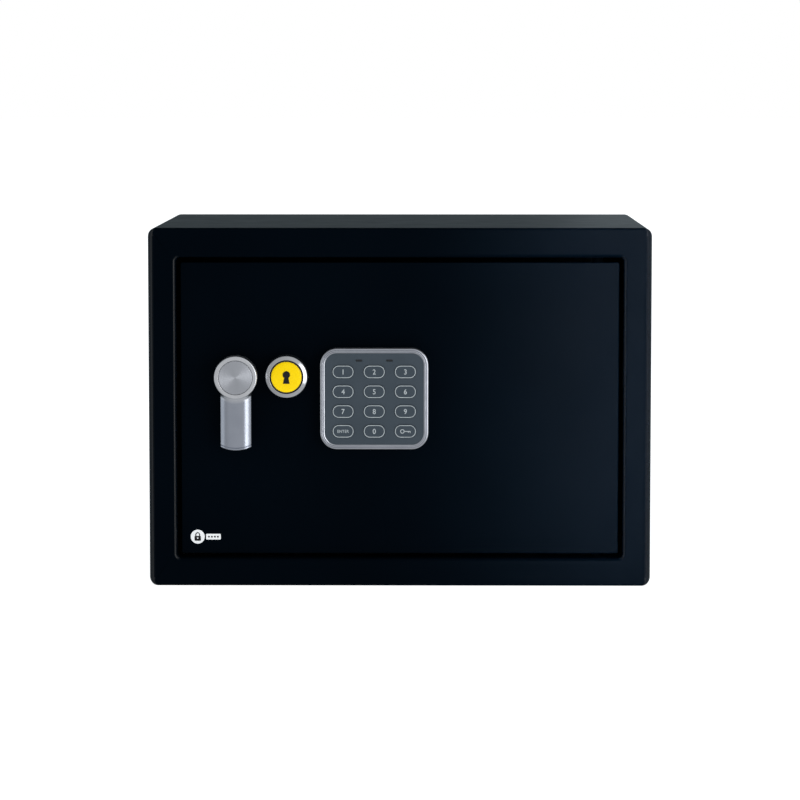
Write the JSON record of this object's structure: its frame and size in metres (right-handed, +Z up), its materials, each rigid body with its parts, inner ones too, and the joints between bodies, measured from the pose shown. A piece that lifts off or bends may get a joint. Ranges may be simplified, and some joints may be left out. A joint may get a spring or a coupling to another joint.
{
  "type": "in-room safe",
  "caption": "Black steel in-room safe: folded cabinet, hinged door with lever knob and sliding bolts, capped override lock, raised keypad, battery box inside.",
  "frame": {"origin": "centre of the cabinet's base, on the surface it stands on", "axes": "+X to the right seen from the front, +Y from the front to the back, +Z up; the door faces -Y"},
  "size_m": [0.35, 0.265, 0.25],
  "materials": {
    "black_powder_coat": "fine-textured black powder coat",
    "carpet": "needle-felt carpet",
    "zinc_steel": "zinc plated",
    "polished_steel": "polished and plated",
    "satin_nickel": "satin nickel plate",
    "slate_plastic": "fine matt moulding",
    "key_rubber": "matt silicone",
    "circuit_board": "solder-masked laminate",
    "smoked_plastic": "smoked, polished",
    "black_plastic": "fine-grained moulding",
    "yellow_plastic": "glossy printed disc",
    "red_plastic": "polished",
    "battery_jacket": "glossy shrink sleeve",
    "copper_winding": "enamelled copper wire on a bobbin",
    "brass": "turned",
    "cable_jacket": "matt sleeve"
  },
  "bodies": {
    "cabinet": {"cabinet_shell": "black_powder_coat", "rear_panel": "black_powder_coat", "front_frame": "black_powder_coat", "floor_mat": "carpet", "hinge_plate_upper": "zinc_steel", "hinge_plate_lower": "zinc_steel"},
    "door": {"door_plate": "black_powder_coat", "hinge_bracket_upper": "black_powder_coat", "hinge_bracket_lower": "black_powder_coat", "hinge_pin_upper": "black_powder_coat", "hinge_pin_lower": "black_powder_coat", "bolt_guide": "zinc_steel", "door_cover": "black_plastic", "cover_screw_1": "zinc_steel", "cover_screw_2": "zinc_steel", "cover_screw_3": "zinc_steel", "cover_screw_4": "zinc_steel", "battery_tray": "black_plastic", "battery_1": "battery_jacket", "battery_2": "battery_jacket", "battery_3": "battery_jacket", "battery_4": "battery_jacket", "solenoid_frame": "zinc_steel", "solenoid_coil": "copper_winding", "plunger_spring": "zinc_steel", "keypad_bezel": "satin_nickel", "keypad_fascia": "slate_plastic", "key_mat": "key_rubber", "keypad_board": "circuit_board", "led_window_left": "smoked_plastic", "led_window_right": "smoked_plastic", "keypad_cable": "cable_jacket", "lock_escutcheon": "satin_nickel", "lock_barrel": "satin_nickel"},
    "knob": {"knob_handle": "satin_nickel", "knob_face": "satin_nickel", "knob_spindle": "zinc_steel"},
    "boltwork": {"bolt_carriage": "zinc_steel", "bolt_upper": "polished_steel", "bolt_lower": "polished_steel"},
    "plunger": {"solenoid_plunger": "polished_steel"},
    "lock_plug": {"lock_plug": "brass", "lock_cam": "zinc_steel"},
    "cap": {"cap_cup": "black_plastic", "cap_badge": "yellow_plastic"},
    "reset_button": {"reset_button": "red_plastic"},
    "battery_cover": {"battery_cover": "black_plastic"},
    "key_1": {"key_1": "key_rubber"},
    "key_2": {"key_2": "key_rubber"},
    "key_3": {"key_3": "key_rubber"},
    "key_4": {"key_4": "key_rubber"},
    "key_5": {"key_5": "key_rubber"},
    "key_6": {"key_6": "key_rubber"},
    "key_7": {"key_7": "key_rubber"},
    "key_8": {"key_8": "key_rubber"},
    "key_9": {"key_9": "key_rubber"},
    "key_enter": {"key_enter": "key_rubber"},
    "key_0": {"key_0": "key_rubber"},
    "key_unlock": {"key_unlock": "key_rubber"}
  },
  "joints": [
    {"name": "door_hinge", "type": "hinge", "parent": "cabinet", "child": "door", "pos_m": [0.1375, -0.111, 0.12405], "axis": [0, 0, 1], "range_deg": [0, 110]},
    {"name": "knob_turn", "type": "hinge", "parent": "door", "child": "knob", "pos_m": [-0.1135, -0.12, 0.147], "axis": [0, 1, 0], "range_deg": [0, 90]},
    {"name": "bolt_throw", "type": "slide", "parent": "door", "child": "boltwork", "axis": [-1, 0, 0], "range_m": [0, 0.018]},
    {"name": "plunger_lift", "type": "slide", "parent": "door", "child": "plunger", "axis": [0, 0, 1], "range_m": [0, 0.003], "stiffness_N_per_m": 60, "springref_m": -0.003, "deforming": ["plunger_spring"]},
    {"name": "lock_plug_turn", "type": "hinge", "parent": "door", "child": "lock_plug", "pos_m": [-0.0785, -0.12, 0.147], "axis": [0, 1, 0], "range_deg": [0, 90]},
    {"name": "cap_pull", "type": "slide", "parent": "door", "child": "cap", "axis": [0, -1, 0], "range_m": [0, 0.03]},
    {"name": "reset_press", "type": "slide", "parent": "door", "child": "reset_button", "axis": [0, -1, 0], "range_m": [0, 0.0015], "stiffness_N_per_m": 300, "springref_m": -0.001},
    {"name": "battery_cover_pull", "type": "slide", "parent": "door", "child": "battery_cover", "axis": [0, 1, 0], "range_m": [0, 0.03]},
    {"name": "key_1_press", "type": "slide", "parent": "door", "child": "key_1", "axis": [0, 1, 0], "range_m": [0, 0.0008], "stiffness_N_per_m": 300, "springref_m": -0.0005},
    {"name": "key_2_press", "type": "slide", "parent": "door", "child": "key_2", "axis": [0, 1, 0], "range_m": [0, 0.0008], "stiffness_N_per_m": 300, "springref_m": -0.0005},
    {"name": "key_3_press", "type": "slide", "parent": "door", "child": "key_3", "axis": [0, 1, 0], "range_m": [0, 0.0008], "stiffness_N_per_m": 300, "springref_m": -0.0005},
    {"name": "key_4_press", "type": "slide", "parent": "door", "child": "key_4", "axis": [0, 1, 0], "range_m": [0, 0.0008], "stiffness_N_per_m": 300, "springref_m": -0.0005},
    {"name": "key_5_press", "type": "slide", "parent": "door", "child": "key_5", "axis": [0, 1, 0], "range_m": [0, 0.0008], "stiffness_N_per_m": 300, "springref_m": -0.0005},
    {"name": "key_6_press", "type": "slide", "parent": "door", "child": "key_6", "axis": [0, 1, 0], "range_m": [0, 0.0008], "stiffness_N_per_m": 300, "springref_m": -0.0005},
    {"name": "key_7_press", "type": "slide", "parent": "door", "child": "key_7", "axis": [0, 1, 0], "range_m": [0, 0.0008], "stiffness_N_per_m": 300, "springref_m": -0.0005},
    {"name": "key_8_press", "type": "slide", "parent": "door", "child": "key_8", "axis": [0, 1, 0], "range_m": [0, 0.0008], "stiffness_N_per_m": 300, "springref_m": -0.0005},
    {"name": "key_9_press", "type": "slide", "parent": "door", "child": "key_9", "axis": [0, 1, 0], "range_m": [0, 0.0008], "stiffness_N_per_m": 300, "springref_m": -0.0005},
    {"name": "key_enter_press", "type": "slide", "parent": "door", "child": "key_enter", "axis": [0, 1, 0], "range_m": [0, 0.0008], "stiffness_N_per_m": 300, "springref_m": -0.0005},
    {"name": "key_0_press", "type": "slide", "parent": "door", "child": "key_0", "axis": [0, 1, 0], "range_m": [0, 0.0008], "stiffness_N_per_m": 300, "springref_m": -0.0005},
    {"name": "key_unlock_press", "type": "slide", "parent": "door", "child": "key_unlock", "axis": [0, 1, 0], "range_m": [0, 0.0008], "stiffness_N_per_m": 300, "springref_m": -0.0005}
  ],
  "couplings": [
    {"joint": "bolt_throw", "follows": "knob_turn", "m_per_rad": 0.011459}
  ]
}
